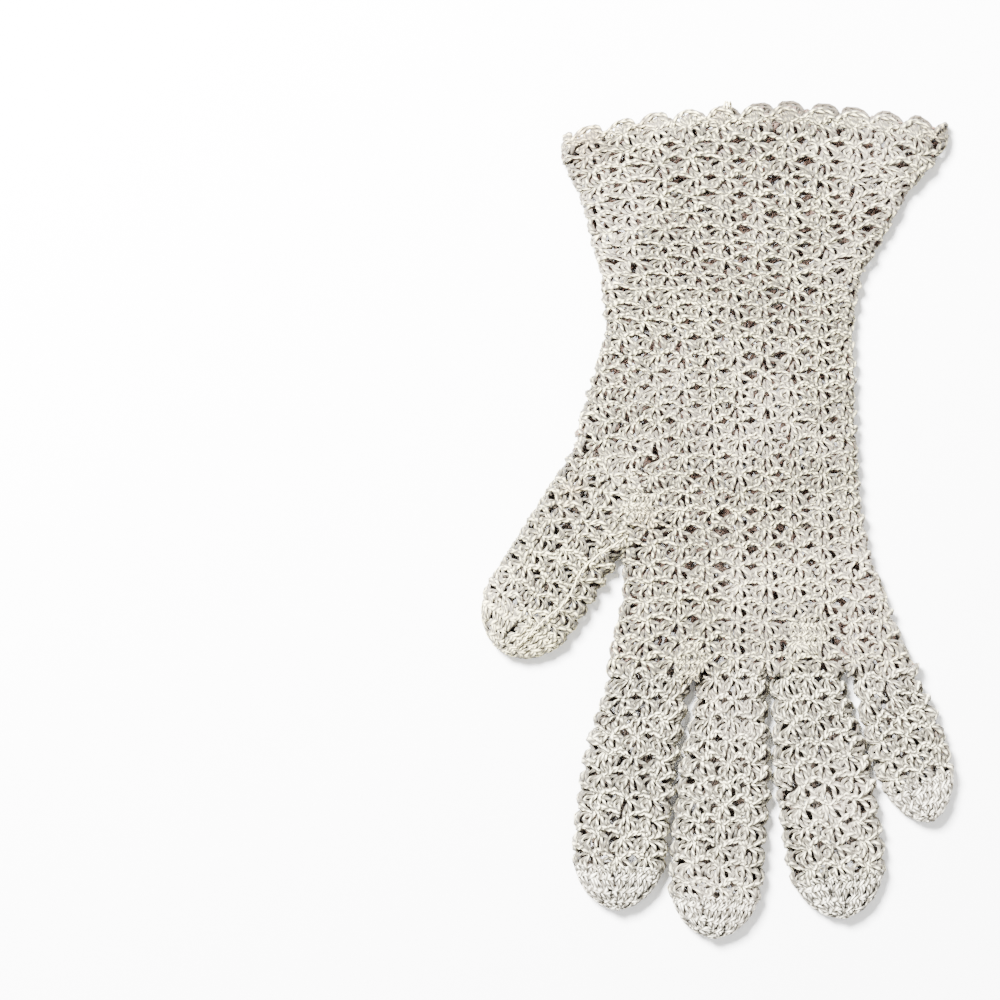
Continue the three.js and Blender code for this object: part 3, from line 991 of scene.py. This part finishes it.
def yarn_shade_and_tone_group() -> bpy.types.NodeTree:
    """Build the group that colours yarn: painted shade inside the cloth, on the strands' sides and lower
    strands and in the ply grooves, random tone, and old faint patches.
    """
    nodes, given, out = open_group(
        "Yarn tone",
        {"Base": "Color", "Shade": "Color", "Hollow": "Color", "Patch": "Color", "Place": "Vector",
         "Height": "Float", "Recess": "Float", "Tone": "Float", "Patchiness": "Float"},
        {"Color": "Color"},
    )
    # Painted shade: the yarn darkens towards the shade colour in its ply grooves and with the per-point shade
    # and tone; the fuzz adds a random tone
    ply = nodes.math("MULTIPLY", nodes.math("SUBTRACT", 1.1, given["Height"]), 1.05)
    left = nodes.math("SUBTRACT", 1.0, nodes.math("ADD", given["Tone"], ply))
    light = nodes.math("POWER", nodes.math("MAXIMUM", left, 0.0), 3.0)
    shaded = nodes.mix(light, given["Shade"], given["Base"])
    cloud = nodes.add("ShaderNodeTexNoise", Vector=given["Place"], Scale=28.0, Detail=3.0, Roughness=0.6)
    ramp = nodes.add("ShaderNodeMapRange", Value=cloud.outputs["Fac"], in1=0.5, in2=0.72, in3=0.0, in4=1.0)
    patched = nodes.mix(nodes.math("MULTIPLY", ramp.outputs[0], given["Patchiness"]), shaded, given["Patch"])
    # Painted shade inside the cloth: the last mix blends the yarn towards the dark colour of painted shade
    nodes.feed(out["Color"], nodes.mix(given["Recess"], patched, given["Hollow"]))
    return nodes.tree


@dataclass(frozen=True)
class CottonFinish:
    """Undyed cotton yarn, in linear colours.

    Args:
        name: The material's name.
        base, shade, hollow: The yarn where it catches the light; in painted shade on its sides, its lower
            strands and its ply grooves; and in the painted shade inside the cloth.
        patch, patchiness: Its old faint patches, and how much they show.
        stains: Each one's place, radius and strength, in metres.
        stain: Their colour.
    """

    name: str
    base: Colour = (0.99, 0.89, 0.5, 1)
    shade: Colour = (0.057, 0.048, 0.03, 1)
    hollow: Colour = (0.17, 0.095, 0.065, 1)
    patch: Colour = (0.66, 0.57, 0.46, 1)
    patchiness: float = 0.25
    stains: tuple[tuple[float, float, float, float], ...] = (
        (-0.0439, 0.1249, 0.012, 0.5), (-0.0258, 0.1308, 0.007, 0.35), (-0.0004, 0.1328, 0.007, 0.3),
        (0.0207, 0.1328, 0.007, 0.3), (0.0732, 0.1275, 0.008, 0.45), (-0.0466, 0.0101, 0.005, 0.5),
        (-0.0225, -0.0021, 0.009, 0.45), (-0.0505, 0.0060, 0.009, 0.3), (-0.0060, -0.0566, 0.011, 0.35),
    )
    stain: Colour = (0.62, 0.45, 0.33, 1)

    def material(self, twist: bpy.types.NodeTree, tone: bpy.types.NodeTree) -> bpy.types.Material:
        """Build the material.

        Args:
            twist: The ply twist group.
            tone: The group that paints shade and tone on the yarn.

        Returns:
            The material.
        """
        material = bpy.data.materials.new(self.name)
        material.use_nodes = True
        nodes = Nodes(material.node_tree)
        shader = material.node_tree.nodes["Principled BSDF"]
        strand = nodes.add("ShaderNodeUVMap", uv_map="Strand").outputs[0]
        place = nodes.add("ShaderNodeTexCoord").outputs["Object"]
        # The points' painted shade inside the cloth, and their painted shade with random tone, come from the
        # mesh's attributes
        recess = nodes.add("ShaderNodeAttribute", attribute_name="recess").outputs["Fac"]
        each = nodes.add("ShaderNodeAttribute", attribute_name="tone").outputs["Fac"]
        ply = nodes.add("ShaderNodeGroup", node_tree=twist, Strand=strand, Place=place, Plies=2.0, Fuzz=0.5)
        colour = nodes.add(
            "ShaderNodeGroup", node_tree=tone, Base=self.base, Shade=self.shade, Hollow=self.hollow,
            Patch=self.patch, Place=place, Height=ply.outputs[0], Recess=recess, Tone=each,
            Patchiness=self.patchiness,
        ).outputs[0]
        for x, y, radius, strength in self.stains:
            apart = nodes.add("ShaderNodeVectorMath", operation="DISTANCE", in0=place, in1=(x, y, 0.008))
            near = nodes.add("ShaderNodeMapRange", Value=apart.outputs["Value"], in1=0.2 * radius, in2=radius,
                             in3=strength, in4=0.0)
            colour = nodes.mix(near.outputs[0], colour, self.stain, "MULTIPLY")
        bump = nodes.add("ShaderNodeBump", Strength=0.9, Distance=0.0006, Height=ply.outputs[0])
        nodes.feed(shader.inputs["Base Color"], colour)
        nodes.feed(shader.inputs["Normal"], bump.outputs[0])
        for name, value in (("Roughness", 0.88), ("Sheen Weight", 0.12), ("Sheen Roughness", 0.6)):
            shader.inputs[name].default_value = value
        return material


@dataclass
class Studio:
    """The pale floor, the soft lights and the camera over the glove, in metres.

    Args:
        view_side: How wide a square the camera sees.
        target: What it looks down on, and how high that is.
        lens, sensor: The camera's, in millimetres.
        floor_side, floor_rise, sweep: The floor's size, how far it rises at the back, and its curve's radius.
    """

    view_side: float = 0.33
    target: tuple[float, float, float] = (-0.0720, 0.0061, 0.006)
    lens: float = 85
    sensor: float = 36
    floor_side: float = 2.4
    floor_rise: float = 0.6
    sweep: float = 0.3

    def floor(self) -> None:
        """Build the floor, which rises in a curve at its far edge."""
        bpy.ops.object.select_all(action="DESELECT")
        bpy.ops.mesh.primitive_plane_add(size=self.floor_side)
        plane = bpy.context.object
        plane.name = "floor"
        bpy.ops.object.mode_set(mode="EDIT")
        bpy.ops.mesh.select_all(action="DESELECT")
        bpy.ops.object.mode_set(mode="OBJECT")
        for edge in plane.data.edges:
            edge.select = all(plane.data.vertices[v].co.y > 0 for v in edge.vertices)
        bpy.ops.object.mode_set(mode="EDIT")
        bpy.ops.mesh.select_mode(type="EDGE")
        bpy.ops.mesh.extrude_edges_move(TRANSFORM_OT_translate={"value": (0, 0, self.floor_rise)})
        bpy.ops.object.mode_set(mode="OBJECT")
        bevel = plane.modifiers.new("sweep", "BEVEL")
        bevel.width, bevel.segments, bevel.limit_method = self.sweep, 12, "ANGLE"
        bpy.ops.object.modifier_apply(modifier=bevel.name)
        bpy.ops.object.shade_smooth()
        material = bpy.data.materials.new("pale floor")
        material.use_nodes = True
        nodes = Nodes(material.node_tree)
        shader = material.node_tree.nodes["Principled BSDF"]
        place = nodes.add("ShaderNodeTexCoord").outputs["Object"]
        grain = nodes.add("ShaderNodeTexNoise", Vector=place, Scale=40.0, Detail=4.0)
        pale = nodes.mix(grain.outputs["Fac"], (0.93, 0.93, 0.93, 1), (0.96, 0.96, 0.96, 1))
        nodes.feed(shader.inputs["Base Color"], pale)
        shader.inputs["Roughness"].default_value = 0.9
        plane.data.materials.append(material)

    def light(self, name: str, place: tuple[float, float, float], size: float, power: float) -> None:
        """Hang a square soft light that faces the glove."""
        lamp = bpy.data.lights.new(name, "AREA")
        lamp.size, lamp.energy = size, power
        hung = bpy.data.objects.new(name, lamp)
        hung.location = place
        hung.rotation_euler = (-Vector(place)).to_track_quat("-Z", "Y").to_euler()
        bpy.context.scene.collection.objects.link(hung)

    def build(self) -> None:
        """Set up the floor, lights, sky and camera."""
        self.floor()
        self.light("key", (-0.5, 0.55, 0.9), 0.35, 205)
        self.light("fill", (0.8, -0.5, 1.0), 1.2, 12)
        world = bpy.data.worlds.new("studio")
        world.use_nodes = True
        sky = world.node_tree.nodes["Background"].inputs
        sky["Color"].default_value, sky["Strength"].default_value = (1, 1, 1, 1), 1.0
        bpy.context.scene.world = world
        camera = bpy.data.cameras.new("camera")
        camera.lens, camera.sensor_width = self.lens, self.sensor
        seat = bpy.data.objects.new("camera", camera)
        x, y, z = self.target
        seat.location = (x, y, z + self.view_side * self.lens / self.sensor)
        bpy.context.scene.collection.objects.link(seat)
        bpy.context.scene.camera = seat


@dataclass
class Glove:
    """The whole glove: its stitched tubes, sorted into pieces.

    Args:
        body: The hand with its cuff.
        seam: The line where the thumb joins the hand.
        patches: The closely worked patches: their places and radii.
        holes: The larger gaps in the palm.
        thread: The loose thread's path over the thumb.
        tuft: The paths of two strands that stand up at the rim.
        batches: The stitches that are laid, by piece.
    """

    body: Body = field(default_factory=Body)
    seam: tuple = ((-31.0, 40.9), (-29.4, 62.7), (-47.2, 79.2))
    patches: tuple = ((-8.9, 6.2, 5.2, 5.6), (28.5, 15.5, 6.0, 6.5), (-25.5, 57.5, 5.5, 6.0))
    holes: tuple = (
        (2.0, 50.8), (11.4, 50.8), (-7.6, 49.8), (21.1, 52.1), (11.6, 44.9), (2.6, 44.9), (-6.9, 37.3)
    )
    thread: tuple = (
        (-29.5, 47.6, 7.4), (-31.5, 46.3, 10.2), (-34.6, 44.4, 10.7), (-38.9, 41.6, 10.8),
        (-42.9, 38.3, 10.8), (-45.6, 35.0, 10.8), (-47.5, 30.7, 10.8), (-49.3, 27.3, 10.8),
        (-51.8, 24.2, 10.8), (-54.1, 22.4, 10.7), (-57.4, 19.8, 10.4), (-59.4, 17.8, 10.2),
        (-61.7, 15.5, 9.8), (-64.0, 12.9, 9.0), (-66.2, 11.2, 7.0),
    )
    tuft: tuple = (
        ((1.6, 185.5, 2.6), (2.1, 187.9, 4.0), (2.9, 191.0, 4.8), (3.9, 190.0, 4.4), (3.2, 186.6, 2.8)),
        ((2.6, 185.8, 3.2), (3.5, 189.0, 5.4), (4.5, 190.9, 5.0), (4.9, 188.0, 3.4), (4.1, 185.9, 2.6)),
    )
    batches: dict[str, list[Batch]] = field(default_factory=dict)

    def __post_init__(self) -> None:
        """Model each stitch once."""
        shell = ShellStitch()
        self.fine, self.plain = shell.model(1), shell.model(0)
        self.scallop, self.close = ScallopStitch().model(1), CloseStitch().model(1)

    def digits(self) -> list[Digit]:
        """List the digits with their sizes."""
        base = self.body.base
        return [
            Digit("thumb", 68.3, 32, -32.5, 0, 1, 0.55, 10, (-33.63, 67.31), square=False, hidden=3, fold=0.8,
                  seed=21),
            Digit("index", 75.5, 31, -15.6, 0.32, 0.89, 0.6, 10, base(0.142), seed=22),
            Digit("middle", 85, 30.8, -5.4, 0.03, 0.75, 0.6, 11, base(0.408), seed=23),
            Digit("ring", 79, 32.4, 10.3, -0.06, 0.76, 0.62, 10, base(0.642), seed=24),
            Digit("little", 48.5, 25.2, 20.8, -0.1, 0.86, 0.8, 6, base(0.889), around=6, seed=25),
        ]

    def seam_side(self, middle: np.ndarray, margin: float) -> np.ndarray:
        """Tell which points lie on the thumb's side of the seam, by more than a margin."""
        across, along = zip(*self.seam)
        x, y = middle[:, 0] + margin, middle[:, 1]
        return (x < np.interp(y, along, across)) & (y > along[0] - 30) & (y < along[-1])

    def openness(self, x: np.ndarray, y: np.ndarray) -> np.ndarray:
        """Tell how open the stitches are: most along the cuff's middle, and at the palm's larger gaps."""
        cuff = smoothstep(y, 85, 105) * smoothstep(-y, -184, -172)
        gape = 0.27 + (0.1 + 0.35 * cuff) * np.exp(-(((x - 12) / 24) ** 2))
        for hole_x, hole_y in self.holes:
            gape = gape + 0.9 * np.exp(-((x - hole_x) ** 2 + (y - hole_y) ** 2) / 14)
        return gape

    def in_patch(self, middle: np.ndarray, share: float) -> np.ndarray:
        """Tell which points lie in a closely worked patch, as far out as a share of its radii."""
        far = [np.hypot((middle[:, 0] - x) / a, (middle[:, 1] - y) / b) for x, y, a, b in self.patches]
        return np.min(far, axis=0) < share

    def sort(self, work: StitchedTube, laid: dict, shares: tuple) -> None:
        """Lay a tube's stitches and keep them under their pieces' names.

        Args:
            work: The tube.
            laid: Where its stitches lie.
            shares: For each piece, its name, which of the stitches it takes and the model that they copy.
        """
        for piece, keep, template in shares:
            taken = {key: value[keep] for key, value in laid.items()}
            if len(taken["row"]):
                self.batches.setdefault(piece, []).append(work.work(taken, template))

    def work_body(self) -> None:
        """Work the hand, the cuff and the rim."""
        palm, cuff = self.body.rows
        last, pitch = palm + cuff, self.body.pitch
        shells = StitchedTube(
            self.body.tube(), ShellStitch(), (0, last), pitch, seed=5, level=last, openness=self.openness
        )
        laid, middle, up = shells.lay_all()
        own = ~(self.seam_side(middle, 2.5) & (middle[:, 1] > self.seam[0][1] + 3))
        hand = laid["row"] < palm
        patched = up & self.in_patch(middle, 0.72)
        self.sort(shells, laid, (
            ("hand_front", hand & up & own & ~patched, self.fine),
            ("hand_back", hand & ~up & own, self.plain),
            ("gauntlet_front", ~hand & up, self.fine),
            ("gauntlet_back", ~hand & ~up, self.plain),
        ))
        rim = StitchedTube(
            shells.tube, ScallopStitch(), (last, last + 1), pitch, seed=5, climb=0, wave=0, occlusion_strength=0.1
        )
        self.sort(rim, rim.lay_all()[0], (("cuff_edging", ALL, self.scallop),))
        dense = StitchedTube(
            self.body.tube(2), CloseStitch(), (0, 2 * palm), lambda row: CLOSE_WIDTH,
            seed=6, offset=0.4, climb=0, wave=0.15, occlusion_strength=0.8, lift=0.35,
        )
        laid, middle, up = dense.lay_all()
        self.sort(dense, laid, (("hand_front", up & self.in_patch(middle, 1.0), self.close),))

    def work_digit(self, digit: Digit) -> None:
        """Work one digit and its tip, whose end is laced up with a thick strand."""
        tube, tip_tube = digit.tube(), digit.tip_tube()
        shells = StitchedTube(
            tube, ShellStitch(), (0, digit.rows + digit.hidden),
            lambda row: float(tube.girth(row)) / digit.around, seed=digit.seed, occlusion_strength=0.4, flank_shade=0.5,
        )
        laid, middle, up = shells.lay_all()
        name, own, inside = f"{digit.name}_finger", np.ones(len(up), bool), np.zeros(len(up), bool)
        if digit.hidden:
            name, own = digit.name, self.seam_side(middle, -1.5)
            inside = own & (middle[:, 0] > -47) & (middle[:, 1] > 70)
        self.sort(shells, laid, (
            (name, own & up & ~inside, self.fine), (name, own & ~up & ~inside, self.plain),
            ("hand_front", inside & up, self.fine), ("hand_back", inside & ~up, self.plain),
        ))
        tip = f"{digit.name}_tip"
        rounds = StitchedTube(
            tip_tube, CloseStitch(), (0, digit.tip_rows + 1), lambda row: CLOSE_WIDTH,
            seed=digit.seed, slack=0.2, offset=0.4, climb=0, wave=0.15, occlusion_strength=0.25, flank_shade=0.4,
        )
        self.sort(rounds, rounds.lay_all()[0], ((tip, ALL, self.close),))
        end = tip_tube.grid[0]
        x, y = end[:, 0].mean(), end[:, 1].mean() + 0.3
        heights = np.linspace(end[:, 2].min(), end[:, 2].max(), 7)
        self.lay_loose(tip, Yarn(0.75), [(x + 0.35 * (-1) ** k, y, z) for k, z in enumerate(heights)], 14)

    def lay_loose(self, piece: str, yarn: Yarn, path: list | tuple, count: int) -> None:
        """Lay one loose strand with a piece.

        Args:
            piece: The piece's name.
            yarn: The strand's yarn.
            path: Points that it follows, in the pattern's own place.
            count: Its sections.
        """
        template = yarn.template([[smooth_path(path, count)]], 1, (0.0,))
        flat = np.zeros(template.points.shape[:2])
        self.batches[piece].append(Batch(template, template.points, flat, flat + LOOSE_TONE))

    def build(self) -> None:
        """Work everything and make the pieces."""
        self.work_body()
        for digit in self.digits():
            self.work_digit(digit)
        self.lay_loose("thumb", Yarn(0.36, 3.0), self.thread, 60)
        for path in self.tuft:
            self.lay_loose("cuff_edging", Yarn(0.4), path, 9)
        rim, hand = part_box("cuff_edging"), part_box("hand")
        middle = (rim[0].x + rim[1].x) / 2 * MM_PER_M - sum(self.body.rim) / 2
        shift = np.array([middle, hand[0].y * MM_PER_M, 0])
        groups = ply_twist_group(), yarn_shade_and_tone_group()
        shell = CottonFinish("shell yarn").material(*groups)
        close = CottonFinish("close yarn", base=(0.985, 0.93, 0.76, 1)).material(*groups)
        finger = CottonFinish("finger yarn", base=(0.985, 0.91, 0.62, 1)).material(*groups)
        for name, batches in self.batches.items():
            piece = build_piece(name, batches, shift)
            kind = Stitch.CLOSE if name.endswith("_tip") else Stitch.SHELL
            finish = close if kind is Stitch.CLOSE and name != "thumb_tip" else shell
            piece.data.materials.append(finger if name.endswith("_finger") else finish)
            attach(piece, "root")
            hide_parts(name.removesuffix("_front").removesuffix("_back"))
            log.info("%s: %d triangles", name, len(piece.data.loops) - 2 * len(piece.data.polygons))


def main() -> None:
    """Build the glove and the studio."""
    Glove().build()
    Studio().build()


if __name__ == "__main__":
    main()
